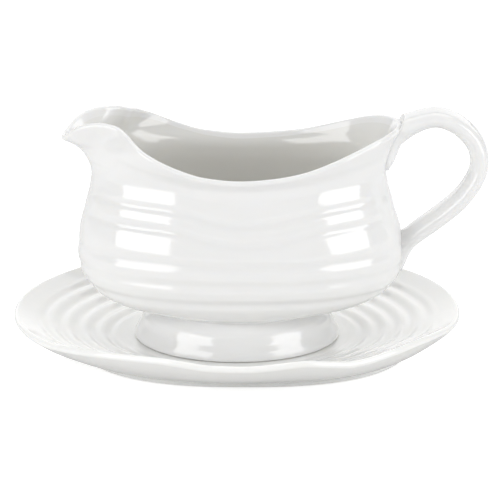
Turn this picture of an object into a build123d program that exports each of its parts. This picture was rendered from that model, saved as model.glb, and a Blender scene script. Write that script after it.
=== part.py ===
from build123d import *
import math
import os

# Gravy boat (bowl, pedestal foot, strap handle) standing in its shallow stand.
# Units mm, +Z up.  Origin: middle of the stand, on the table.
# +X points to the handle, -X to the pouring spout.

os.makedirs("parts", exist_ok=True)

# ---- bowl dimensions
BOWL_CX = 1.5            # centre of the oval bowl along X
BOWL_BOTTOM_Z = 23.5     # underside of the bowl, where the foot joins
BOWL_TOP_Z = 126.0       # height of the untrimmed bowl
WALL = 3.6               # wall thickness
FLOOR_Z = BOWL_BOTTOM_Z + WALL
NECK_R = 43.9            # joint between bowl and foot

RIB_PITCH = 10.4         # spacing of the thrown rings round the bowl
RIB_DEPTH = 0.42         # half height of a ring, crest to mean
RIB_PHASE_Z = 44.9       # height of one valley between rings
RING_LIFT = 6.5          # how far the upper rings climb towards the high ends of the rim

SPOUT_START_Z = 88.0     # the spout begins above this height
SPOUT_MAX_COS = -0.35    # and only in directions whose cosine is below this
SPOUT_CX = -59.5         # plan centre of the spout lobe
SPOUT_POWER = 1.63       # lobe outline: 2 is a true oval, less is more pointed
SPOUT_BLEND = 13.0       # soft blend between spout and body
SPOUT_FADE_IN = 12.0     # height over which the blend reaches full size

WAIST_FOLLOW = 0.45      # how far the narrow waist rises with the rim above its lowest point
RIM_LOW_Z = 98.25        # lowest point of the rim
RIM_CUT_TOP_Z = 140.0    # top of the block that trims the rim
RIM_CUT_HALF_Y = 80.0    # half width of that block

# height -> left end of the body wall (without the spout)
X_LEFT = [(23.5, -44.0), (24.0, -50.6), (24.7, -57.0), (26.4, -64.5), (28.4, -69.3),
          (33.0, -75.2), (39.0, -79.3), (44.0, -81.2), (50.0, -81.9), (57.0, -81.5),
          (63.0, -80.9), (69.0, -79.6), (76.0, -77.7), (82.0, -76.2), (88.0, -75.0),
          (92.0, -74.4), (97.0, -72.9), (103.0, -69.9), (110.0, -65.3), (117.0, -61.4),
          (126.0, -58.4)]
# height -> right end of the wall
X_RIGHT = [(23.5, 44.0), (24.0, 51.5), (24.7, 59.0), (26.4, 67.5), (28.4, 72.8),
           (33.0, 79.2), (39.0, 83.4), (45.0, 85.0), (51.5, 85.2), (61.0, 84.2),
           (67.0, 82.6), (72.5, 81.0), (78.0, 79.6), (84.0, 78.0), (89.5, 76.9),
           (92.5, 76.5), (96.0, 77.1), (100.0, 78.2), (107.0, 80.5), (111.0, 82.2),
           (114.0, 83.9), (117.5, 86.3), (126.0, 87.6)]
# height -> half width along Y
Y_HALF = [(23.5, 44.0), (24.0, 45.7), (24.7, 47.2), (26.4, 49.4), (28.4, 50.9),
          (33.0, 53.3), (39.0, 55.4), (45.0, 56.3), (51.0, 56.3), (60.0, 55.3),
          (67.0, 53.8), (75.0, 51.8), (83.0, 49.8), (89.0, 48.3), (93.0, 47.9),
          (98.5, 50.7), (105.0, 53.3), (112.0, 55.2), (118.0, 56.1), (126.0, 56.7)]
# height -> X of the spout tip
X_SPOUT = [(86.0, -75.4), (90.7, -74.8), (94.0, -75.1), (97.3, -76.2), (100.9, -78.2),
           (103.3, -80.2), (106.1, -83.6), (107.8, -87.0), (109.0, -90.0), (110.5, -92.6),
           (113.0, -95.0), (117.0, -97.2), (126.0, -99.5)]
# height -> half width of the spout channel
SPOUT_W = [(86.0, 10.9), (97.0, 13.1), (103.0, 15.6), (108.0, 17.3), (114.0, 18.2),
           (122.0, 19.9), (126.0, 20.0)]
# position along X -> height of the rim
RIM_Z = [(-105.0, 96.0), (-97.0, 102.3), (-91.5, 107.6), (-87.0, 113.3), (-82.5, 117.4),
         (-75.8, 120.3), (-69.0, 121.4), (-62.9, 121.0), (-56.4, 118.1), (-48.2, 112.8),
         (-40.0, 108.2), (-32.0, 104.6), (-15.5, 99.8), (1.5, 98.25), (18.6, 99.25),
         (35.6, 102.0), (49.5, 106.0), (61.3, 109.9), (70.1, 113.0), (78.4, 115.0),
         (84.0, 115.8), (95.0, 116.5)]

# ---- foot and handle
SEAT_Z = 4.6             # top of the stand's well, where the boat's foot stands
# (radius, height) between the neck and the table end
FOOT_OUT = [(43.6, 22.2), (44.2, 21.1), (45.6, 19.5), (47.1, 17.9), (48.1, 16.4),
            (48.6, 15.2), (49.0, 14.0), (49.6, 12.6), (50.6, 10.9), (51.7, 9.0),
            (52.6, 6.8), (52.3, SEAT_Z + 0.3), (51.6, SEAT_Z)]
FOOT_SEAT_IN_R = 49.6    # inner edge of the ring the foot stands on
FOOT_IN = [(47.0, 9.0), (44.4, 13.6), (41.2, 18.4)]  # (radius, height), going up
NECK_WALL = 5.5
# (x, z, half thickness, half width) from the upper root to the lower tail
HANDLE = [(75.6, 93.0, 0.9, 2.4), (76.0, 94.4, 2.0, 5.0), (76.7, 96.6, 2.9, 6.9),
          (77.6, 99.4, 3.5, 8.1), (78.7, 103.4, 4.0, 8.8),
          (80.6, 108.6, 4.5, 9.3), (85.6, 113.8, 5.1, 9.5), (91.4, 117.3, 5.0, 9.5),
          (97.0, 119.3, 4.8, 9.5), (103.2, 119.9, 4.75, 9.5), (110.3, 117.7, 4.75, 9.5),
          (115.7, 114.1, 4.75, 9.5), (120.3, 109.2, 4.75, 9.5), (123.2, 103.7, 4.75, 9.5),
          (124.3, 98.4, 4.75, 9.5), (123.8, 92.6, 4.75, 9.5), (121.5, 87.1, 4.75, 9.5),
          (118.3, 82.0, 4.8, 9.5), (114.6, 77.4, 4.85, 9.5), (109.8, 72.9, 4.9, 9.5),
          (104.1, 68.3, 4.9, 9.5), (98.1, 63.8, 4.9, 9.5), (92.6, 59.7, 4.8, 9.4),
          (88.0, 55.4, 4.5, 9.0), (85.3, 50.4, 4.0, 8.2), (83.8, 45.6, 3.0, 6.8),
          (82.4, 40.6, 1.9, 4.6)]

# ---- stand
STAND_R = 115.0          # rim radius
STAND_INSET = 4.0        # how much smaller the radius is on the -Y side
STAND_RIM_Z = 18.0       # mean rim height
LIP_WIDTH = 1.8          # width of the rounded lip
WELL_R = 57.5            # edge of the flat well
FLAT_R = 56.0            # the curved part of each upper profile starts here
PROFILE_IN_R = 50.0      # inner end of the radial profiles
DISC_OVERLAP = 3.0       # how far the central disc runs into them
UNDER_Z = 1.6            # underside inside the foot ring
STAND_RING_CX = 4.2      # foot ring, centre along X
STAND_RING_RX = 83.3     # foot ring along X
STAND_RING_RY = 78.2     # foot ring along Y
STAND_RING_SOFT = 2.45   # 2 is a true oval, more is squarer
RING_OUT = 1.7           # underside meets the foot ring this far outside its middle
RING_OUT_Z = 2.3         # and at this height
STAND_RIPPLE = 0.45      # half height of the rings on the stand
STAND_PITCH = 8.8        # spacing of those rings
STAND_VALLEY_R = 65.0    # radius of one valley between them
SECTION_STEP = 6.0       # degrees between radial profiles
# direction round the stand (degrees, 0 at the handle side) -> rim raised or lowered
STAND_WAVE = [(0.0, 0.2), (30.0, 0.6), (70.0, -0.4), (110.0, 0.9), (150.0, -0.3),
              (180.0, -0.2), (200.0, -0.4), (210.0, -0.2), (218.0, 1.1), (227.0, 2.7),
              (235.0, 3.9), (242.0, 4.6), (249.0, 4.9), (256.0, 4.0), (263.0, 2.7),
              (273.0, 2.4), (280.0, 3.1), (287.0, 3.8), (295.0, 2.1), (302.0, 0.5),
              (306.0, 0.7), (312.0, 1.6), (318.0, 2.4), (325.0, 3.0), (333.0, 2.5),
              (345.0, 0.6), (360.0, 0.2)]


# ---- general functions
def curve(table, t):
    """Smooth monotone interpolation through a table of (t, value)."""
    last = len(table) - 1
    if t <= table[0][0]:
        return table[0][1]
    if t >= table[last][0]:
        return table[last][1]
    i = 0
    while table[i + 1][0] < t:
        i += 1

    def chord(k):
        return (table[k + 1][1] - table[k][1]) / (table[k + 1][0] - table[k][0])

    def slope(k):
        if k <= 0:
            return chord(0)
        if k >= last:
            return chord(last - 1)
        before = table[k][0] - table[k - 1][0]
        after = table[k + 1][0] - table[k][0]
        if chord(k - 1) * chord(k) <= 0:
            return 0.0
        w0, w1 = 2 * after + before, after + 2 * before
        return (w0 + w1) / (w0 / chord(k - 1) + w1 / chord(k))

    (t0, v0), (t1, v1) = table[i], table[i + 1]
    span = t1 - t0
    s = (t - t0) / span
    m0, m1 = slope(i) * span, slope(i + 1) * span
    return ((2 * s ** 3 - 3 * s ** 2 + 1) * v0 + (s ** 3 - 2 * s ** 2 + s) * m0
            + (-2 * s ** 3 + 3 * s ** 2) * v1 + (s ** 3 - s ** 2) * m1)


def smooth_step(u):
    u = max(0.0, min(1.0, u))
    return u * u * (3 - 2 * u)


def rise(t, low, high):
    """0 below low, 1 above high, smooth between."""
    return smooth_step((t - low) / (high - low))


def bump(t, low, high, soft):
    """1 between low and high, fading to 0 over `soft` outside."""
    return smooth_step((t - low) / soft + 1.0) * smooth_step((high - t) / soft + 1.0)


def blend_min(p, q, width):
    """Smaller of p and q, rounded off where they are close."""
    h = max(0.0, min(1.0, 0.5 + 0.5 * (p - q) / width))
    return p + (q - p) * h - width * h * (1 - h)


def oval_r(angle, half_x, half_y, power):
    """Radius of a superellipse in one direction; power 2 is a true oval."""
    return (abs(math.cos(angle) / half_x) ** power
            + abs(math.sin(angle) / half_y) ** power) ** (-1.0 / power)


def bisect(is_below, low, high, steps=30):
    """Value between low and high where is_below turns false."""
    for _ in range(steps):
        middle = 0.5 * (low + high)
        if is_below(middle):
            low = middle
        else:
            high = middle
    return 0.5 * (low + high)


def save(part, name):
    part.label = name
    export_step(part, f"parts/{name}.step")


# ---- shape of the bowl
def end_reach(cos_a, z):
    """Distance along X from the bowl's axis to the wall end on that side."""
    return curve(X_RIGHT, z) - BOWL_CX if cos_a >= 0 else BOWL_CX - curve(X_LEFT, z)


def rim_above(angle, z):
    """How far the rim in this direction stands above its lowest point."""
    cos_a = math.cos(angle)
    radius = oval_r(angle, end_reach(cos_a, z), curve(Y_HALF, z), 2.0)
    return curve(RIM_Z, BOWL_CX + radius * cos_a) - RIM_LOW_Z


def outer_r(angle, z):
    """Distance from the bowl's axis to the plain outer wall, spout included."""
    cos_a, sin_a = math.cos(angle), math.sin(angle)
    half_x = end_reach(cos_a, z)
    half_y = curve(Y_HALF, z - WAIST_FOLLOW * rim_above(angle, z) * rise(z, 70.0, 94.0))
    belly = 2.0 + 0.1 * bump(z, 30, 80, 10)
    if cos_a >= 0:
        return oval_r(angle, half_x, half_y, belly + 0.04 * bump(z, 112, 200, 8))
    body = oval_r(angle, half_x, half_y, belly + 0.76 * bump(z, 112, 200, 20))
    if z < SPOUT_START_Z or cos_a > SPOUT_MAX_COS:
        return body

    tip = BOWL_CX - curve(X_SPOUT, z)
    half_w = curve(SPOUT_W, z)
    offset = BOWL_CX - SPOUT_CX
    blend = SPOUT_BLEND * min(1.0, (z - SPOUT_START_Z) / SPOUT_FADE_IN) + 0.01

    def field(r, reach, along, across, body_r):
        """Below 0 inside the body or the spout lobe, above 0 outside."""
        x, y = r * along + offset, r * across
        lobe = math.hypot(x, y) - oval_r(math.atan2(y, x), reach, half_w, SPOUT_POWER)
        return blend_min(0.9 * (r - body_r), lobe, blend)

    # reach of the lobe that puts its tip on the wanted line
    reach = bisect(lambda r: field(tip, r, -1.0, 0.0, half_x) > 0, 2.0, 80.0, steps=26)
    return bisect(lambda r: field(r, reach, cos_a, sin_a, body) < 0, body - 6.0, 130.0)


def ring_wave(angle, z):
    """Thrown rings: soft waves with narrow valleys, slightly uneven."""
    level_z = z + 0.5 * math.sin(angle + 0.6) + 0.35 * math.sin(2 * angle + z / 21.0)
    level_z -= RING_LIFT * math.tanh(rim_above(angle, 64.0) / 5.0) * rise(z, 57.0, 71.0)
    turn = 2 * math.pi * (level_z - RIB_PHASE_Z) / RIB_PITCH
    wave = -math.cos(turn) - 0.25 * math.cos(2 * turn)
    # deeper higher up, fainter towards both ends of the oval
    ends = rise(abs(math.cos(angle)), 0.86, 0.985)
    strength = ((1.0 + 0.3 * rise(z, 46.0, 58.0))
                * (1.0 - ends * (0.35 + 0.5 * rise(z, 46.0, 60.0))))
    return RIB_DEPTH * strength * wave * bump(level_z, 36.0, 77.0, 12.0)


# directions round the bowl, closer together at the spout, mirrored in the XZ plane
HALF_TURN = [math.radians(v) for v in
             (*range(0, 120, 8), 120, 127, 133, 138, 143, 148, 153, 158, 163, 168, 173)]
ANGLES = HALF_TURN + [math.pi] + [2 * math.pi - a for a in reversed(HALF_TURN[1:])]
KNOTS = [a / (2 * math.pi) for a in ANGLES] + [1.0]


def plan_edge(radii):
    """Closed smooth outline in the sketch plane from one radius per direction."""
    points = [(BOWL_CX + r * math.cos(a), r * math.sin(a), 0.0) for r, a in zip(radii, ANGLES)]
    return Edge.make_spline(points, periodic=True, parameters=KNOTS)


def heights(first, step, limit):
    """The first heights, then even steps until past the limit, then the bowl's top."""
    levels = list(first)
    while levels[-1] < limit:
        levels.append(levels[-1] + step)
    return levels + [BOWL_TOP_Z]


def inner_meridians():
    """Each meridian of the plain outer wall moved in by the wall, as (height, radius)."""
    levels = heights([23.5, 23.75, 24.0, 24.3, 24.7, 25.2, 26.0, 27.0, 28.0, 29.0, 30.5, 32.0],
                     step=1.4, limit=124.6)
    radii = [[outer_r(a, z) for a in ANGLES] for z in levels]
    meridians = []
    for j in range(len(ANGLES)):
        after = (j + 1) % len(ANGLES)
        spread = (ANGLES[after] - ANGLES[j - 1]) % (2 * math.pi)
        line = [(levels[0] + WALL, radii[0][j])]
        for i in range(1, len(levels)):
            above = min(i + 1, len(levels) - 1)
            dr = radii[above][j] - radii[i - 1][j]
            dz = levels[above] - levels[i - 1]
            length = math.hypot(dr, dz)
            # thicker in plan where the wall runs oblique to the radius
            twist = (radii[i][after] - radii[i][j - 1]) / spread / radii[i][j]
            wall = WALL * math.hypot(1.0, twist)
            line.append((levels[i] - wall * (-dr / length), radii[i][j] - wall * (dz / length)))
        line.sort()
        clean = [line[0]]
        for point in line[1:]:
            if point[0] > clean[-1][0] + 0.05:
                clean.append(point)
        meridians.append(clean)
    return meridians


# ---- solids
def make_bowl_blank():
    """Solid bowl with rings and spout, before hollowing and trimming."""
    with BuildPart() as blank:
        for z in heights([23.5, 24.0, 24.7, 26.0, 28.0, 30.5, 33.5], step=2.6, limit=122.0):
            with BuildSketch(Plane.XY.offset(z)):
                with BuildLine():
                    add(plan_edge([outer_r(a, z) + ring_wave(a, z) for a in ANGLES]))
                make_face()
        loft()
        split(bisect_by=Plane.XY.offset(BOWL_BOTTOM_Z), keep=Keep.TOP)
    return blank.part


def make_bowl_hollow():
    meridians = inner_meridians()
    first = [FLOOR_Z + up for up in (0.0, 0.5, 1.2, 2.5, 4.5, 7.0)]
    with BuildPart() as hollow:
        for z in heights(first, step=3.5, limit=122.0):
            with BuildSketch(Plane.XY.offset(z)):
                with BuildLine():
                    add(plan_edge([curve(meridian, z) for meridian in meridians]))
                make_face()
        loft()
    return hollow.part


def make_bowl(blank, hollow):
    with BuildPart() as bowl:
        add(blank)
        add(hollow, mode=Mode.SUBTRACT)
        # cut away everything above the rim line
        with BuildSketch(Plane.XZ):
            with BuildLine():
                rim = Spline(*[(x, curve(RIM_Z, x)) for x in range(-104, 95, 4)])
                Polyline(rim @ 1, ((rim @ 1).X, RIM_CUT_TOP_Z),
                         ((rim @ 0).X, RIM_CUT_TOP_Z), rim @ 0)
            make_face()
        extrude(amount=RIM_CUT_HALF_Y, both=True, mode=Mode.SUBTRACT)
    return bowl.part


def make_foot():
    with BuildPart() as foot:
        with BuildSketch(Plane.XZ):
            with BuildLine():
                outside = Spline((NECK_R, BOWL_BOTTOM_Z), *FOOT_OUT)
                seat = Line(outside @ 1, (FOOT_SEAT_IN_R, SEAT_Z))
                inside = Spline(seat @ 1, *FOOT_IN, (NECK_R - NECK_WALL, BOWL_BOTTOM_Z))
                Line(inside @ 1, outside @ 0)
            make_face()
        revolve(axis=Axis.Z)
    return foot.part


def make_handle(blank):
    """Strap handle, trimmed to sit flush against the bowl's wall."""
    with BuildPart() as handle:
        for i, (x, z, half_t, half_w) in enumerate(HANDLE):
            x0, z0 = HANDLE[max(i - 1, 0)][:2]
            x1, z1 = HANDLE[min(i + 1, len(HANDLE) - 1)][:2]
            across = Plane(origin=(x, 0, z), x_dir=(0, 1, 0), z_dir=(x1 - x0, 0, z1 - z0))
            with BuildSketch(across):
                Ellipse(half_w, half_t)
        loft()
        add(blank, mode=Mode.SUBTRACT)
        # keep only the largest piece left by the trim
        for scrap in handle.solids().sort_by(SortBy.VOLUME)[:-1]:
            add(scrap, mode=Mode.SUBTRACT)
    return handle.part


def stand_edge(angle):
    """Radius and height of the stand's rim in one direction."""
    toward_minus_y = max(0.0, -math.sin(angle))
    radius = STAND_R - STAND_INSET * toward_minus_y ** 2
    return radius, STAND_RIM_Z + curve(STAND_WAVE, math.degrees(angle) % 360.0)


def stand_top(r, angle):
    """Height of the stand's upper face."""
    radius, rim = stand_edge(angle)
    u = max(0.0, (r - WELL_R) / (radius - LIP_WIDTH - WELL_R))
    climb = (rim - SEAT_Z) * (0.35 * u + 0.65 * u ** 2)
    ring_r = r * STAND_R / radius + 0.6 * math.sin(angle + 1.0)
    wave = -math.cos(2 * math.pi * (ring_r - STAND_VALLEY_R) / STAND_PITCH)
    return SEAT_Z + climb + STAND_RIPPLE * wave * bump(r, 66.0, 99.0, 7.0)


def foot_ring_r(angle):
    """Distance from the axis to the middle of the stand's foot ring."""
    def is_inside(r):
        u = abs((r * math.cos(angle) - STAND_RING_CX) / STAND_RING_RX) ** STAND_RING_SOFT
        v = abs(r * math.sin(angle) / STAND_RING_RY) ** STAND_RING_SOFT
        return u + v <= 1.0
    return bisect(is_inside, 60.0, 110.0)


def profile_edge(points, params):
    return Edge.make_spline([(x, y, 0.0) for x, y in points], parameters=params)


def make_stand_half(start):
    """Half of the stand outside the well: radial profiles joined round the axis."""
    top_params = [j / 30.0 for j in range(31)]
    under_params = [0.0, 0.25, 0.5, 0.75, 1.0]
    with BuildPart() as half:
        for k in range(31):
            angle = math.radians(start + SECTION_STEP * k)
            radius, rim = stand_edge(angle)
            ring = foot_ring_r(angle)
            lip_r = radius - LIP_WIDTH
            top_radii = [FLAT_R + (lip_r - FLAT_R) * t for t in top_params]
            top = [(r, stand_top(r, angle)) for r in top_radii]
            lip = [top[-1], (radius - 0.5, rim - 0.6), (radius - 0.05, rim - 1.9),
                   (radius - 0.7, rim - 3.3)]
            r_out, z_out = lip[-1]
            under = [(ring + RING_OUT + (r_out - ring - RING_OUT) * (1 - t),
                      RING_OUT_Z + (z_out - RING_OUT_Z)
                      * (0.55 * (1 - t) + 0.45 * (1 - t) ** 2.5))
                     for t in under_params]
            radial = Plane(origin=(0, 0, 0), x_dir=(math.cos(angle), math.sin(angle), 0),
                           z_dir=(math.sin(angle), -math.cos(angle), 0))
            with BuildSketch(radial):
                with BuildLine():
                    Line((PROFILE_IN_R, SEAT_Z), (FLAT_R, SEAT_Z))
                    add(profile_edge(top, top_params))
                    add(profile_edge(lip, [0.0, 0.3, 0.6, 1.0]))
                    add(profile_edge(under, under_params))
                    # foot ring, flat underside and inner end
                    Polyline(under[-1], (ring + 0.95, 1.3), (ring + 0.7, 0.0),
                             (ring - 1.8, 0.0), (ring - 3.4, UNDER_Z),
                             (PROFILE_IN_R, UNDER_Z), (PROFILE_IN_R, SEAT_Z))
                make_face()
        loft()
    return half.part


def make_stand():
    halves = [make_stand_half(start) for start in (0.0, 180.0)]
    with BuildPart() as stand:
        with Locations((0, 0, UNDER_Z)):
            Cylinder(PROFILE_IN_R + DISC_OVERLAP, SEAT_Z - UNDER_Z,
                     align=(Align.CENTER, Align.CENTER, Align.MIN))
        for half in halves:
            add(half)
    return stand.part


bowl_blank = make_bowl_blank()
save(make_bowl(bowl_blank, make_bowl_hollow()), "boat_bowl")
save(make_foot(), "boat_foot")
save(make_handle(bowl_blank), "boat_handle")
save(make_stand(), "stand")
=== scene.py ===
"""White porcelain sauce boat on its stand.

The spout points to -X, the handle to +X and the camera looks from -Y (the front). Z is up.
The stand rests on z = 0 and is centred on the origin. Shapes are in millimetres, turned
into metres as meshes are made; shaders, lights and camera are in metres.
"""
import math

import bmesh
import bpy
import numpy as np
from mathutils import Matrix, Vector


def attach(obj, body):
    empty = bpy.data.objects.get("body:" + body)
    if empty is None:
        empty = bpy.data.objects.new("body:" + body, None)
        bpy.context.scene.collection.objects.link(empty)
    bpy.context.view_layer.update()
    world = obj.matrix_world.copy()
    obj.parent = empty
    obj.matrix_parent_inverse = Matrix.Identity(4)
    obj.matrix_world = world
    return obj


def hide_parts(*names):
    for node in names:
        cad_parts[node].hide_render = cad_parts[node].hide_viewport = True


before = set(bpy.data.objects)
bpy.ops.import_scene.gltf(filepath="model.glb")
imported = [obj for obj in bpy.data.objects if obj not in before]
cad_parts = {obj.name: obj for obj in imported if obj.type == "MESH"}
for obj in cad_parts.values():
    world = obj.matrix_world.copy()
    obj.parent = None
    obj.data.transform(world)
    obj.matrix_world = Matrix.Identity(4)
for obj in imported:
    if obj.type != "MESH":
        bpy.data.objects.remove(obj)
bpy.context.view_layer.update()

MM = 0.001
TAU = math.tau

# ------------------------------------------------------------------ bowl sizes
AXIS_X = 1.5                      # the bowl's vertical axis
BOTTOM_Z, WALL_TOP_Z = 23.5, 125.9
RIM_DIP_Z = 98.25                 # rim height beside the axis
RIB_PITCH, RIB_DEPTH, RIB_PHASE = 10.4, 0.42, 44.9
BASE_T, BELLY_T, LIP_T = 3.9, 3.6, 3.1   # wall thickness from base to lip
FLOOR_SAG = 0.25
WALL_ROWS, LIP_STEPS, FLOOR_STEPS = 230, 14, 14

# Side outlines of the bowl: (z, x)
LEFT_X = [
    (23.5, -44.0), (24.0, -50.6), (24.7, -57.0), (26.4, -64.5), (28.4, -69.3),
    (33.0, -75.2), (39.0, -79.3), (44.0, -81.2), (50.0, -81.9), (57.0, -81.5),
    (63.0, -80.9), (69.0, -79.6), (76.0, -77.7), (82.0, -76.2), (88.0, -75.0),
    (92.0, -74.4), (97.0, -72.9), (103.0, -69.9), (110.0, -65.3), (117.0, -61.4),
    (126.0, -58.4)]
RIGHT_X = [
    (23.5, 44.0), (24.0, 51.5), (24.7, 59.0), (26.4, 67.5), (28.4, 72.8),
    (33.0, 79.2), (39.0, 83.4), (45.0, 85.0), (51.5, 85.2), (61.0, 84.2),
    (67.0, 82.6), (72.5, 81.0), (78.0, 79.6), (84.0, 78.0), (89.5, 76.9),
    (92.5, 76.5), (96.0, 77.1), (100.0, 78.2), (107.0, 80.5), (111.0, 82.2),
    (114.0, 83.9), (117.5, 86.3), (126.0, 87.6)]
# Half width of the bowl: (z, y)
HALF_Y = [
    (23.5, 44.0), (24.0, 45.7), (24.7, 47.2), (26.4, 49.4), (28.4, 50.9),
    (33.0, 53.3), (39.0, 55.4), (45.0, 56.3), (51.0, 56.3), (60.0, 55.3),
    (67.0, 53.8), (75.0, 51.8), (83.0, 49.8), (89.0, 48.3), (93.0, 47.9),
    (98.5, 50.7), (105.0, 53.3), (112.0, 55.2), (118.0, 56.1), (126.0, 56.7)]
# Spout: tip outline (z, x) and half width (z, y)
SPOUT_TIP_X = [
    (86.0, -75.4), (90.7, -74.8), (94.0, -75.1), (97.3, -76.2), (100.9, -78.2),
    (103.3, -80.2), (106.1, -83.6), (107.8, -87.0), (109.0, -90.0), (110.5, -92.6),
    (113.0, -95.0), (117.0, -97.2), (126.0, -99.5)]
SPOUT_HALF_Y = [
    (86.0, 10.9), (97.0, 13.1), (103.0, 15.6), (108.0, 17.3), (114.0, 18.2),
    (122.0, 19.9), (126.0, 20.0)]
SPOUT_X, SPOUT_START_Z, SPOUT_BLEND = -59.5, 88.0, 13.0
# Rim seen from the front: (x, z)
RIM_Z = [
    (-105.0, 96.0), (-97.0, 102.3), (-91.5, 107.6), (-87.0, 113.3), (-82.5, 117.4),
    (-75.8, 120.3), (-69.0, 121.4), (-62.9, 121.0), (-56.4, 118.1), (-48.2, 112.8),
    (-40.0, 108.2), (-32.0, 104.6), (-15.5, 99.8), (AXIS_X, RIM_DIP_Z), (18.6, 99.25),
    (35.6, 102.0), (49.5, 106.0), (61.3, 109.9), (70.1, 113.0), (78.4, 115.0),
    (84.0, 115.8), (95.0, 116.5)]

# ------------------------------------------------------------------ foot and handle sizes
SEAT_Z = 4.6                      # where the foot stands in the dish
# Foot profile: (radius, z), down the outside, across the seat and up the inside
FOOT_OUTSIDE = [
    (47.4, 25.0), (45.6, 24.2), (44.1, 23.2), (43.6, 22.2), (44.2, 21.1), (45.6, 19.5),
    (47.1, 17.9), (48.1, 16.4), (48.6, 15.2), (49.0, 14.0), (49.6, 12.6), (50.6, 10.9),
    (51.7, 9.0), (52.6, 6.8), (52.6, 5.3), (51.6, 4.62)]
FOOT_SEAT = [(50.9, SEAT_Z), (50.4, SEAT_Z)]
FOOT_INSIDE = [(49.8, 4.62), (49.0, 5.0), (47.0, 9.0), (44.4, 13.6), (41.2, 18.4), (38.4, 23.4)]
FOOT_COLUMNS = 288
BARE_HEIGHT, BARE_MIN_R = 0.45, 48.5     # unglazed band of the foot, above the seat

# Handle centreline, top end first: (x, z, half thickness, half width)
HANDLE = [
    (75.6, 93.0, 0.9, 2.4), (76.0, 94.4, 2.0, 5.0), (76.7, 96.6, 2.9, 6.9),
    (77.6, 99.4, 3.5, 8.1), (78.7, 103.4, 4.0, 8.8),
    (80.6, 108.6, 4.5, 9.3), (85.6, 113.8, 5.1, 9.5), (91.4, 117.3, 5.0, 9.5),
    (97.0, 119.3, 4.8, 9.5), (103.2, 119.9, 4.75, 9.5), (110.3, 117.7, 4.75, 9.5),
    (115.7, 114.1, 4.75, 9.5), (120.3, 109.2, 4.75, 9.5), (123.2, 103.7, 4.75, 9.5),
    (124.3, 98.4, 4.75, 9.5), (123.8, 92.6, 4.75, 9.5), (121.5, 87.1, 4.75, 9.5),
    (118.3, 82.0, 4.8, 9.5), (114.6, 77.4, 4.85, 9.5), (109.8, 72.9, 4.9, 9.5),
    (104.1, 68.3, 4.9, 9.5), (98.1, 63.8, 4.9, 9.5), (92.6, 59.7, 4.8, 9.4),
    (88.0, 55.4, 4.5, 9.0), (85.3, 50.4, 4.0, 8.2), (83.8, 45.6, 3.0, 6.8),
    (82.4, 40.6, 1.9, 4.6)]
HANDLE_ROWS, HANDLE_COLUMNS = 220, 72
HANDLE_SQUARENESS = 2.3           # exponent of the section, 2 is an ellipse
HANDLE_CROWN = 0.25               # outward bow of the section, share of half thickness
FLARE, FLARE_REACH = 1.5, 5.0     # thickening where the handle nears the wall
SINK = 1.3                        # deepest the handle goes into the wall
# Slanted plane that limits the handle's top
CAP_X, CAP_Z, CAP_SLOPE, CAP_BLEND = 83.3, 119.4, 0.62, 1.4

# ------------------------------------------------------------------ stand sizes
STAND_R, STAND_RIM_Z = 115.0, 18.0
FRONT_TRIM = 4.0                  # how much the radius shrinks at the front
WELL_R, FLAT_R = 57.5, 54.0
RIPPLE_DEPTH, RIPPLE_PITCH, RIPPLE_PHASE = 0.45, 8.8, 65.0
RIM_INSET, RIM_ROLL_R = 1.8, 1.9
HUB_R = 1.0                       # innermost ring of points, above and below
STAND_COLUMNS = 420
RING_X, RING_HALF_X, RING_HALF_Y, RING_SQUARENESS = 4.2, 83.3, 78.2, 2.45
RING_JOIN, RING_JOIN_Z = 1.7, 2.3 # where the underside meets the foot ring
RECESS, RECESS_Z = 3.4, 1.6       # flat underside within the ring
# Foot ring profile: (offset from the oval, z)
RING_PROFILE = [
    (1.35, 1.9), (1.3, 1.3), (1.25, 0.6), (1.0, 0.2), (0.4, 0.0), (-1.5, 0.0),
    (-2.0, 0.3), (-RECESS, RECESS_Z)]
STAND_BARE_Z = 0.36               # unglazed below this
# Rise of the stand's rim: (degrees from +X, z above STAND_RIM_Z)
STAND_WAVE = [
    (0.0, 0.2), (30.0, 0.6), (70.0, -0.4), (110.0, 0.9), (150.0, -0.3),
    (180.0, -0.2), (200.0, -0.4), (210.0, -0.2), (218.0, 1.1), (227.0, 2.7),
    (235.0, 3.9), (242.0, 4.6), (249.0, 4.9), (256.0, 4.0), (263.0, 2.7),
    (273.0, 2.4), (280.0, 3.1), (287.0, 3.8), (295.0, 2.1), (302.0, 0.5),
    (306.0, 0.7), (312.0, 1.6), (318.0, 2.4), (325.0, 3.0), (333.0, 2.5),
    (345.0, 0.6), (360.0, 0.2)]


# ------------------------------------------------------------------ curves
def hermite(knots, values, slopes, at):
    """Cubic through the values; the last axis of values and slopes runs along the knots."""
    i = np.clip(np.searchsorted(knots, at, side="right") - 1, 0, len(knots) - 2)
    step = knots[i + 1] - knots[i]
    s = (at - knots[i]) / step
    return ((2 * s ** 3 - 3 * s ** 2 + 1) * values[..., i]
            + (s ** 3 - 2 * s ** 2 + s) * slopes[..., i] * step
            + (-2 * s ** 3 + 3 * s ** 2) * values[..., i + 1]
            + (s ** 3 - s ** 2) * slopes[..., i + 1] * step)


def curve(table, at):
    """Monotone smooth interpolation through (place, value) pairs, on arrays."""
    knots, values = np.array(table, float).T
    step = np.diff(knots)
    chord = np.diff(values) / step
    slopes = np.zeros_like(knots)
    slopes[0], slopes[-1] = chord[0], chord[-1]
    for i in range(1, len(knots) - 1):
        if chord[i - 1] * chord[i] > 0:
            before = 2 * step[i] + step[i - 1]
            after = step[i] + 2 * step[i - 1]
            slopes[i] = (before + after) / (before / chord[i - 1] + after / chord[i])
    return hermite(knots, values, slopes, np.clip(np.asarray(at, float), knots[0], knots[-1]))


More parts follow.
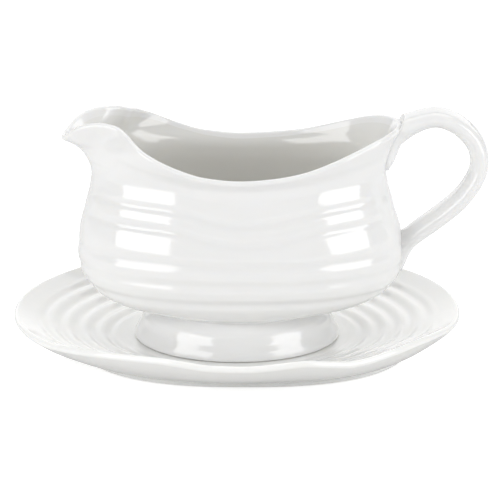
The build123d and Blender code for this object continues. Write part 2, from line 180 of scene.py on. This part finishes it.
def spline_path(points, count):
    """Smooth path through points, evenly spaced along the chords of the first two columns."""
    p = np.array(points, float).T
    d = np.concatenate([[0], np.cumsum(np.linalg.norm(np.diff(p[:2], axis=1), axis=0))])
    slopes = np.zeros_like(p)
    slopes[:, 1:-1] = (p[:, 2:] - p[:, :-2]) / (d[2:] - d[:-2])
    slopes[:, 0] = (p[:, 1] - p[:, 0]) / (d[1] - d[0])
    slopes[:, -1] = (p[:, -1] - p[:, -2]) / (d[-1] - d[-2])
    return hermite(d, p, slopes, np.linspace(0, d[-1], count)).T


def ease(value, start, width):
    """Smooth step from 0 at start to 1 at start + width."""
    u = np.clip((value - start) / width, 0.0, 1.0)
    return u * u * (3 - 2 * u)


def bump(value, low, high, soft):
    """1 between low and high, fading to 0 over soft on either side."""
    return ease(value, low - soft, soft) * ease(-value, -high - soft, soft)


def blend_min(first, second, blend):
    """Minimum of two values with the corner rounded over blend."""
    h = np.clip(0.5 + 0.5 * (first - second) / blend, 0.0, 1.0)
    return first + (second - first) * h - blend * h * (1 - h)


def bisect(low, high, steps, inside):
    """Edge between low, where inside() holds, and high, where it doesn't."""
    for _ in range(steps):
        middle = 0.5 * (low + high)
        hit = inside(middle)
        low, high = np.where(hit, middle, low), np.where(hit, high, middle)
    return 0.5 * (low + high)


def oval_radius(angle, half_x, half_y, squareness):
    """Polar radius of a superellipse."""
    return (np.abs(np.cos(angle) / half_x) ** squareness
            + np.abs(np.sin(angle) / half_y) ** squareness) ** (-1.0 / squareness)


# ------------------------------------------------------------------ mesh tools
def add_object(name, data):
    ob = bpy.data.objects.new(name, data)
    bpy.context.scene.collection.objects.link(ob)
    return ob


def mesh_object(name, points, faces, materials, face_materials=None):
    mesh = bpy.data.meshes.new(name)
    mesh.from_pydata((points * MM).tolist(), [], faces)
    mesh.update()
    ob = add_object(name, mesh)
    for material in materials:
        mesh.materials.append(material)
    if face_materials is not None:
        mesh.polygons.foreach_set("material_index", np.asarray(face_materials, np.int32))
    mesh.polygons.foreach_set("use_smooth", np.ones(len(mesh.polygons), bool))
    mesh.update()
    return ob


def fit(ob, body, part):
    """Tie a piece to the body it moves with and the CAD part it stands for."""
    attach(ob, body)
    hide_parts(part)


def neighbours(columns):
    """Each column with the next one round."""
    return [(j, (j + 1) % columns) for j in range(columns)]


def grid_faces(rows, columns):
    """Quads of a grid of points whose columns go round."""
    return [(a + j, a + k, a + columns + k, a + columns + j)
            for a in range(0, (rows - 1) * columns, columns) for j, k in neighbours(columns)]


def grid_normals(grid):
    """Unit normals of a grid of points whose columns go round."""
    around = np.roll(grid, -1, axis=1) - np.roll(grid, 1, axis=1)
    normals = np.cross(around, np.gradient(grid, axis=0))
    return normals / np.maximum(np.linalg.norm(normals, axis=2, keepdims=True), 1e-9)


def revolve(rows, angles):
    """Grid of points about the origin from (radius, z) rows."""
    return np.array([
        np.stack(np.broadcast_arrays(r * np.cos(angles), r * np.sin(angles), z), axis=1)
        for r, z in rows])


# ------------------------------------------------------------------ materials
def set_inputs(tree, node, inputs):
    """Link the inputs given as sockets and set the others."""
    for key, value in inputs.items():
        if isinstance(value, bpy.types.NodeSocket):
            tree.links.new(value, node.inputs[key])
        else:
            node.inputs[key].default_value = value


def add_node(tree, kind, inputs, **settings):
    node = tree.nodes.new("ShaderNode" + kind)
    for key, value in settings.items():
        setattr(node, key, value)
    set_inputs(tree, node, inputs)
    return node


def new_material(name):
    material = bpy.data.materials.new(name)
    material.use_nodes = True
    tree = material.node_tree
    return material, tree, tree.nodes["Principled BSDF"]


def color_ramp(tree, source, stops):
    """Two-stop ramp; stops are (position, colour)."""
    node = add_node(tree, "ValToRGB", {"Fac": source})
    for element, (position, color) in zip(node.color_ramp.elements, stops):
        element.position = position
        element.color = color
    return node.outputs["Color"]


def noise(tree, coord, scale, detail=2.0, roughness=0.5):
    return add_node(tree, "TexNoise", {
        "Vector": coord, "Scale": scale, "Detail": detail,
        "Roughness": roughness}).outputs["Fac"]


def glaze(name, tone, hollow_shade_tone, rim_tone=None):
    """White porcelain under a clear glossy glaze."""
    material, tree, shader = new_material(name)
    coord = add_node(tree, "TexCoord", {}).outputs["Object"]
    # faint cloudy tone
    cloud = noise(tree, coord, scale=26.0, detail=4.0, roughness=0.55)
    clouded = tuple(c * share for c, share in zip(tone, (0.985, 0.985, 0.975)))
    base = add_node(tree, "Mix", {"A": (*tone, 1), "B": (*clouded, 1), "Factor": cloud},
                    data_type="RGBA")
    if rim_tone:
        # painted shade: the tone is darker deep in the bowl, where less light reaches, and
        # climbs to rim_tone towards the rim
        place = add_node(tree, "SeparateXYZ", {0: coord})
        level = add_node(tree, "MapRange", {
            "Value": place.outputs["Z"], "From Min": 0.092, "From Max": 0.118})
        painted_shade_climb = add_node(tree, "Mix", {
            "A": (*tone, 1), "B": (*rim_tone, 1), "Factor": level.outputs["Result"]},
            data_type="RGBA")
        set_inputs(tree, base, {"A": painted_shade_climb.outputs["Result"]})
    # painted shade: slightly darker in hollows, grooves and creases, picked out by the
    # pointiness
    geometry = add_node(tree, "NewGeometry", {})
    hollow = color_ramp(tree, geometry.outputs["Pointiness"],
                        [(0.47, (1, 1, 1, 1)), (0.505, (0, 0, 0, 1))])
    share = add_node(tree, "Math", {0: hollow, 1: 0.35}, operation="MULTIPLY")
    hollow_shaded = add_node(tree, "Mix", {
        "A": base.outputs["Result"], "B": (*hollow_shade_tone, 1), "Factor": share.outputs[0]},
        data_type="RGBA")
    # uneven gloss
    gloss = add_node(tree, "MapRange", {
        "Value": noise(tree, coord, scale=60.0), "To Min": 0.07, "To Max": 0.13})
    # orange-peel of the glaze and the soft unevenness under it
    fine = noise(tree, coord, scale=420.0)
    broad = noise(tree, coord, scale=55.0)
    height = add_node(tree, "Math", {0: broad, 1: 6.0, 2: fine}, operation="MULTIPLY_ADD")
    relief = add_node(tree, "Bump", {
        "Height": height.outputs[0], "Strength": 0.12, "Distance": 0.00012})
    set_inputs(tree, shader, {
        "Base Color": hollow_shaded.outputs["Result"],
        "Roughness": gloss.outputs["Result"],
        "IOR": 1.52,
        "Subsurface Weight": 0.18,
        "Subsurface Radius": (1.0, 0.9, 0.75),
        "Subsurface Scale": 0.0035,
        "Coat Weight": 0.35,
        "Coat Roughness": 0.03,
        "Coat IOR": 1.5,
        "Normal": relief.outputs["Normal"],
        "Coat Normal": relief.outputs["Normal"]})
    return material


def bisque(name):
    """Unglazed fired clay where a foot ring was wiped clean."""
    material, tree, shader = new_material(name)
    coord = add_node(tree, "TexCoord", {}).outputs["Object"]
    grain = noise(tree, coord, scale=900.0, detail=4.0, roughness=0.7)
    color = color_ramp(tree, grain, [(0.25, (0.60, 0.575, 0.53, 1)),
                                     (0.75, (0.74, 0.72, 0.68, 1))])
    relief = add_node(tree, "Bump", {"Height": grain, "Strength": 0.5, "Distance": 0.0001})
    set_inputs(tree, shader, {
        "Base Color": color, "Roughness": 0.85, "Normal": relief.outputs["Normal"]})
    return material


def floor_material():
    """Matt white that glows more to the camera than it lights the pieces."""
    material, tree, shader = new_material("floor_white")
    seen = add_node(tree, "LightPath", {}).outputs["Is Camera Ray"]
    glow = add_node(tree, "Math", {0: seen, 1: 0.50, 2: 0.15}, operation="MULTIPLY_ADD")
    set_inputs(tree, shader, {
        "Base Color": (0.66, 0.66, 0.66, 1),
        "Roughness": 1.0,
        "Specular IOR Level": 0.0,
        "Emission Color": (1, 1, 1, 1),
        "Emission Strength": glow.outputs[0]})
    return material


# ------------------------------------------------------------------ bowl
def rim_above(angle, z):
    """How far the rim in this direction stands above its dip beside the axis."""
    cos = np.cos(angle)
    reach = np.where(cos >= 0, curve(RIGHT_X, z) - AXIS_X, AXIS_X - curve(LEFT_X, z))
    x = AXIS_X + oval_radius(angle, reach, curve(HALF_Y, z), 2.0) * cos
    return curve(RIM_Z, x) - RIM_DIP_Z


def wall_radius(angle, z):
    """Distance from the bowl's axis to the plain outer wall, on arrays."""
    angle, z = np.broadcast_arrays(np.asarray(angle, float), np.asarray(z, float))
    cos, sin = np.cos(angle), np.sin(angle)
    # the plan is an oval, squarer at the belly and towards the rim
    squareness = 2.0 + 0.1 * bump(z, 30, 80, 10)
    left_reach = AXIS_X - curve(LEFT_X, z)
    # under a high rim the upper width profile is stretched upwards
    half_width = curve(HALF_Y, z - 0.45 * rim_above(angle, z) * ease(z, 70, 24))
    right = oval_radius(angle, curve(RIGHT_X, z) - AXIS_X, half_width,
                        squareness + 0.04 * ease(z, 104, 8))
    body = oval_radius(angle, left_reach, half_width, squareness + 0.76 * ease(z, 92, 20))

    # the spout is a smaller oval blended into the left side
    tip, spout_half = AXIS_X - curve(SPOUT_TIP_X, z), curve(SPOUT_HALF_Y, z)
    blend = SPOUT_BLEND * np.clip((z - SPOUT_START_Z) / 12.0, 0, 1) + 0.01

    def field(radius, reach, cos, sin, body_radius):
        """Negative inside the union of body and spout."""
        x, y = radius * cos + AXIS_X - SPOUT_X, radius * sin
        spout_edge = oval_radius(np.arctan2(y, x), reach, spout_half, 1.63)
        return blend_min(0.9 * (radius - body_radius), np.hypot(x, y) - spout_edge, blend)

    # the spout's length that puts the blended surface on the tip outline
    reach = bisect(2.0, 80.0, 26, lambda r: field(tip, r, -1.0, 0.0, left_reach) > 0)
    spout = bisect(body - 6.0, 130.0, 30, lambda r: field(r, reach, cos, sin, body) < 0)
    left = np.where((z < SPOUT_START_Z) | (cos > -0.35), body, spout)
    return np.where(cos >= 0, right, left)


def rib_height(angle, z):
    """Height of the level ribs over the plain wall."""
    # the ribs wander a little, and the upper ones follow the rim
    level = z + 0.5 * np.sin(angle + 0.6) + 0.35 * np.sin(2 * angle + z / 21.0)
    level = level - 6.5 * np.tanh(rim_above(angle, 64.0) / 5.0) * ease(z, 57, 14)
    turn = TAU * (level - RIB_PHASE) / RIB_PITCH
    # stronger higher up, weaker at the spout and handle ends
    ends = ease(np.abs(np.cos(angle)), 0.86, 0.125)
    strength = (1.0 + 0.3 * ease(z, 46, 12)) * (1.0 - ends * (0.35 + 0.5 * ease(z, 46, 14)))
    return (RIB_DEPTH * strength * (-np.cos(turn) - 0.25 * np.cos(2 * turn))
            * bump(level, 36, 77, 12))


def plain_wall(angles):
    """Outer wall without ribs: rows evenly spaced from the bottom to just under the rim."""
    levels = np.concatenate([np.linspace(BOTTOM_Z, 26.4, 30, endpoint=False),
                             np.linspace(26.4, 33.0, 26, endpoint=False),
                             np.linspace(33.0, WALL_TOP_Z, 330)])[:, None]
    radius = wall_radius(angles, levels)
    wall = np.stack(np.broadcast_arrays(
        AXIS_X + radius * np.cos(angles), radius * np.sin(angles), levels), axis=2)
    steps = np.linalg.norm(np.diff(wall, axis=0), axis=2)
    arc = np.vstack([np.zeros(len(angles)), np.cumsum(steps, axis=0)])
    above_rim = wall[:, :, 2] - curve(RIM_Z, wall[:, :, 0])
    plain = np.zeros((WALL_ROWS, len(angles), 3))
    for j in range(len(angles)):
        i = int(np.argmax(above_rim[:, j] > 0))
        share = above_rim[i - 1, j] / (above_rim[i - 1, j] - above_rim[i, j])
        rim_arc = arc[i - 1, j] + share * (arc[i, j] - arc[i - 1, j]) - 0.5 * LIP_T
        places = rim_arc * np.linspace(0, 1, WALL_ROWS)
        for axis in range(3):
            plain[:, j, axis] = np.interp(places, arc[:, j], wall[:, j, axis])
    return plain


def build_bowl(outside, inside):
    # columns are closest round the spout
    angles = np.radians(np.concatenate([np.linspace(0, 115, 104, endpoint=False),
                                        np.linspace(115, 245, 220, endpoint=False),
                                        np.linspace(245, 360, 104, endpoint=False)]))
    columns = len(angles)
    plain = plain_wall(angles)
    normals = grid_normals(plain)
    normals[0] = (0, 0, -1)
    z = plain[:, :, 2]
    unevenness = 0.18 * np.sin(3 * angles + 0.8 + z / 35.0) * bump(z, 35, 80, 12)
    outer = plain + (rib_height(angles, z) + unevenness)[:, :, None] * normals
    height = np.linspace(0, 1, WALL_ROWS)[:, None, None]
    thickness = (BASE_T - (BASE_T - BELLY_T) * ease(height, 0.0, 0.5)
                 - (BELLY_T - LIP_T) * ease(height, 0.55, 0.45))
    inner = plain - thickness * normals

    # half-round lip over the two walls
    upward = plain[-1] - plain[-4]
    upward /= np.linalg.norm(upward, axis=1, keepdims=True)
    middle = 0.5 * (outer[-1] + inner[-1])
    half = 0.5 * np.linalg.norm(outer[-1] - inner[-1], axis=1, keepdims=True)
    lip = [middle + half * (math.cos(turn) * normals[-1] + math.sin(turn) * upward)
           for turn in np.linspace(0, math.pi, LIP_STEPS + 1)[1:-1]]

    # every second row down the inside, then rings closing the sagging floor
    down = list(inner[::-1][::2]) + [inner[0]]
    center = np.array([AXIS_X, 0, inner[0][:, 2].mean()])
    floor_rings = []
    for step in range(1, FLOOR_STEPS):
        u = 1 - step / FLOOR_STEPS
        ring = center + u * (inner[0] - center)
        ring[:, 2] -= FLOOR_SAG * (1 - u * u)
        floor_rings.append(ring)
    rows = list(outer) + lip + down + floor_rings
    points = np.vstack([np.array(rows).reshape(-1, 3),
                        [center - (0, 0, FLOOR_SAG)], [[AXIS_X, 0, BOTTOM_Z]]])
    faces = grid_faces(len(rows), columns)
    floor_hub = len(rows) * columns
    last = floor_hub - columns
    for j, k in neighbours(columns):
        faces.append((last + j, last + k, floor_hub))
        faces.append((k, j, floor_hub + 1))
    # the inside glaze, darker with painted shade, starts three rows below the lip
    inside_start = (WALL_ROWS + len(lip) + 3) * columns
    face_materials = [int(min(face) >= inside_start) for face in faces]
    bowl = mesh_object("bowl", points, faces, [outside, inside], face_materials)
    fit(bowl, "boat", "boat_bowl")
    return bowl


# ------------------------------------------------------------------ foot
def build_foot(glazed, bare):
    profile = np.vstack([spline_path(FOOT_OUTSIDE, 90), FOOT_SEAT,
                         spline_path(FOOT_INSIDE, 50)])
    angles = np.linspace(0, TAU, FOOT_COLUMNS, endpoint=False)
    wobble = 1 + 0.0022 * np.sin(2 * angles + 1.1) + 0.0012 * np.sin(5 * angles)
    points = revolve([(r * wobble, z) for r, z in profile], angles).reshape(-1, 3)
    radius, z = profile.T
    is_bare = ((np.maximum(z[:-1], z[1:]) < SEAT_Z + BARE_HEIGHT)
               & (radius[:-1] > BARE_MIN_R))
    foot = mesh_object("foot", points, grid_faces(len(profile), FOOT_COLUMNS),
                       [glazed, bare], np.repeat(is_bare, FOOT_COLUMNS))
    fit(foot, "boat", "boat_foot")
    return foot


# ------------------------------------------------------------------ handle
def from_axis(points):
    """Angle and distance of points from the bowl's axis, and the wall's distance there."""
    x, y = points[:, :, 0] - AXIS_X, points[:, :, 1]
    angle = np.arctan2(y, x)
    wall = wall_radius(angle, np.clip(points[:, :, 2], 24, WALL_TOP_Z))
    return angle, np.hypot(x, y), wall


def build_handle(glazed):
    path = spline_path(HANDLE, HANDLE_ROWS)
    x, z, half_thick, half_wide = path.T[:, :, None]
    along = np.gradient(path[:, :2], axis=0)
    along /= np.linalg.norm(along, axis=1, keepdims=True)
    along_x, along_z = along.T[:, :, None]
    turn = np.linspace(0, TAU, HANDLE_COLUMNS, endpoint=False)
    section = oval_radius(turn, 1.0, 1.0, HANDLE_SQUARENESS)
    y = half_wide * section * np.cos(turn)
    # towards the outer side of the loop
    out = half_thick * (section * np.sin(turn) + HANDLE_CROWN * np.cos(turn) ** 2)
    points = np.stack([x - along_z * out, y, z + along_x * out], axis=2)

    # flare near the wall
    _, distance, wall = from_axis(points)
    gap = np.clip(distance - wall, 0, None)
    flare = FLARE * np.clip(1 - gap / FLARE_REACH, 0, 1) ** 2
    away = points - np.stack([x, np.zeros_like(x), z], axis=2)
    away /= np.maximum(np.linalg.norm(away, axis=2, keepdims=True), 1e-6)
    points = points + away * flare[:, :, None]

    # keep the ends from breaking through to the inside of the bowl
    angle, distance, wall = from_axis(points)
    distance = np.maximum(distance, wall - SINK)
    points[:, :, 0] = AXIS_X + distance * np.cos(angle)
    points[:, :, 1] = distance * np.sin(angle)
    cap = CAP_Z + CAP_SLOPE * (points[:, :, 0] - CAP_X)
    points[:, :, 2] = blend_min(points[:, :, 2], cap, CAP_BLEND)

    faces = grid_faces(HANDLE_ROWS, HANDLE_COLUMNS)
    last = (HANDLE_ROWS - 1) * HANDLE_COLUMNS
    faces.append(tuple(reversed(range(HANDLE_COLUMNS))))
    faces.append(tuple(range(last, last + HANDLE_COLUMNS)))
    handle = mesh_object("handle", points.reshape(-1, 3), faces, [glazed])
    fit(handle, "boat", "boat_handle")
    return handle


# ------------------------------------------------------------------ stand
def stand_edge(angle):
    """Radius and height of the stand's rim."""
    front = np.maximum(0.0, -np.sin(angle))
    return (STAND_R - FRONT_TRIM * front ** 2,
            STAND_RIM_Z + curve(STAND_WAVE, np.degrees(angle) % 360))


def stand_top(radius, angle):
    """Height of the dish: flat well, rising side, ripples between."""
    edge, rim = stand_edge(angle)
    u = np.maximum(0.0, (radius - WELL_R) / (edge - RIM_INSET - WELL_R))
    rise = (rim - SEAT_Z) * (0.35 * u + 0.65 * u ** 2)
    place = radius * STAND_R / edge + 0.6 * np.sin(angle + 1.0)
    wave = -np.cos(TAU * (place - RIPPLE_PHASE) / RIPPLE_PITCH)
    return SEAT_Z + rise + RIPPLE_DEPTH * wave * bump(radius, 66.0, 99.0, 7.0)


def ring_radius(angle):
    """Polar radius of the stand's foot ring, a soft oval set a little towards the handle."""
    def inside(r):
        return (np.abs((r * np.cos(angle) - RING_X) / RING_HALF_X) ** RING_SQUARENESS
                + np.abs(r * np.sin(angle) / RING_HALF_Y) ** RING_SQUARENESS) <= 1
    return bisect(60.0, 110.0, 30, inside)


def build_stand(glazed, bare):
    angles = np.linspace(0, TAU, STAND_COLUMNS, endpoint=False)
    edge, _ = stand_edge(angles)
    ring = ring_radius(angles)
    rows = [(r, SEAT_Z) for r in np.linspace(HUB_R, FLAT_R, 16)]
    side_start, side_end = FLAT_R + 0.5, edge - RIM_INSET
    for t in np.linspace(0, 1, 150):
        r = side_start + (side_end - side_start) * t
        rows.append((r, stand_top(r, angles)))
    # rolled rim
    roll_r, roll_z = edge - RIM_ROLL_R, stand_top(side_end, angles) - RIM_ROLL_R
    for t in np.linspace(0, 1, 16)[1:]:
        turn = math.pi / 2 - t * math.pi * 0.77
        rows.append((roll_r + RIM_ROLL_R * math.cos(turn), roll_z + RIM_ROLL_R * math.sin(turn)))
    # underside in to the foot ring, the ring, and the recess within it
    under_r, under_z = rows[-1]
    join = ring + RING_JOIN
    for t in np.linspace(1, 0, 36)[1:]:
        fall = 0.55 * t + 0.45 * t ** 2.5
        rows.append((join + (under_r - join) * t, RING_JOIN_Z + (under_z - RING_JOIN_Z) * fall))
    rows += [(ring + offset, z) for offset, z in RING_PROFILE]
    for t in np.linspace(0, 1, 12)[1:]:
        rows.append(((ring - RECESS) * (1 - t) + HUB_R * t, RECESS_Z))

    grid = revolve(rows, angles)
    points = np.vstack([grid.reshape(-1, 3), [[0, 0, SEAT_Z]], [[0, 0, RECESS_Z]]])
    faces = grid_faces(len(grid), STAND_COLUMNS)
    top_hub = len(grid) * STAND_COLUMNS
    last = top_hub - STAND_COLUMNS
    for j, k in neighbours(STAND_COLUMNS):
        faces.append((k, j, top_hub))
        faces.append((last + j, last + k, top_hub + 1))
    highest = grid[:, :, 2].max(axis=1)
    is_bare = np.maximum(highest[:-1], highest[1:]) < STAND_BARE_Z
    face_materials = np.append(np.repeat(is_bare, STAND_COLUMNS), np.zeros(2 * STAND_COLUMNS))
    stand = mesh_object("stand_dish", points, faces, [glazed, bare], face_materials)
    fit(stand, "stand", "stand")
    return stand


# ------------------------------------------------------------------ floor, light, camera
FLOOR_HALF, FLOOR_Z = 6, -0.0003
WORLD_STRENGTH = 0.34
LIGHT_AIM = Vector((0, 0, 0.06))
# name, azimuth in degrees from the camera's side (+ to the right), distance, height,
# width, length, radiance
SOFTBOXES = [
    ("soft_left", -53.5, 2.0, 0.72, 1.70, 1.52, 3.15),
    ("soft_right", 63.5, 2.0, 0.72, 1.45, 1.52, 3.4),
    ("soft_top", 180, 0.9, 2.3, 2.6, 1.6, 1.6),
    ("soft_back", 180, 2.4, 0.9, 3.6, 1.7, 0.85)]
CAMERA_AIM = Vector((0.0067, 0.0, 0.0495))
CAMERA_ELEVATION, CAMERA_DISTANCE = math.radians(16.0), 3.0


def aim(ob, location, target):
    ob.location = location
    ob.rotation_euler = (target - location).to_track_quat("-Z", "Y").to_euler()


def build_floor():
    mesh = bpy.data.meshes.new("floor")
    corners = [(-1, -1), (1, -1), (1, 1), (-1, 1)]
    mesh.from_pydata([(x * FLOOR_HALF, y * FLOOR_HALF, FLOOR_Z) for x, y in corners], [],
                     [(0, 1, 2, 3)])
    floor = add_object("floor", mesh)
    mesh.materials.append(floor_material())


def build_world():
    world = bpy.data.worlds.new("studio")
    bpy.context.scene.world = world
    world.use_nodes = True
    set_inputs(world.node_tree, world.node_tree.nodes["Background"],
               {"Color": (1, 1, 1, 1), "Strength": WORLD_STRENGTH})


def build_softbox(name, azimuth, distance, height, width, length, radiance):
    light = bpy.data.lights.new(name, "AREA")
    light.shape = "RECTANGLE"
    light.size, light.size_y = width, length
    light.energy = radiance * math.pi * width * length
    ob = add_object(name, light)
    turn = math.radians(azimuth)
    aim(ob, Vector((math.sin(turn) * distance, -math.cos(turn) * distance, height)), LIGHT_AIM)


def build_camera():
    camera = bpy.data.cameras.new("camera")
    camera.sensor_width = 36.0
    camera.lens = 419.0
    camera.clip_end = 30.0
    ob = add_object("camera", camera)
    back = Vector((0, -math.cos(CAMERA_ELEVATION), math.sin(CAMERA_ELEVATION)))
    aim(ob, CAMERA_AIM + back * CAMERA_DISTANCE, CAMERA_AIM)
    bpy.context.scene.camera = ob


# ------------------------------------------------------------------ build
# the second tone of each glaze is painted shade laid into hollows and grooves
boat_glaze = glaze("glaze_boat", tone=(0.86, 0.86, 0.86), hollow_shade_tone=(0.80, 0.80, 0.795))
# painted light: the stand's tone is set lighter than the boat's glaze to brighten the dish
# around the bowl
stand_glaze_painted_light = glaze("glaze_stand", tone=(0.935, 0.935, 0.92), hollow_shade_tone=(0.88, 0.885, 0.86))
# the inside of the bowl gets a darker tone as painted shade, lightening towards the rim
inside_glaze_painted_shade = glaze("glaze_boat_inside_painted_shade", tone=(0.78, 0.775, 0.75), hollow_shade_tone=(0.74, 0.735, 0.71),
                     rim_tone=(0.86, 0.86, 0.86))
bare_clay = bisque("unglazed_foot_rim")

pieces = [build_bowl(boat_glaze, inside_glaze_painted_shade), build_foot(boat_glaze, bare_clay),
          build_handle(boat_glaze), build_stand(stand_glaze_painted_light, bare_clay)]
for piece in pieces:
    bm = bmesh.new()
    bm.from_mesh(piece.data)
    bmesh.ops.recalc_face_normals(bm, faces=bm.faces)
    bm.to_mesh(piece.data)
    bm.free()

build_floor()
build_world()
for softbox in SOFTBOXES:
    build_softbox(*softbox)
build_camera()
bpy.context.scene.view_settings.view_transform = "Standard"
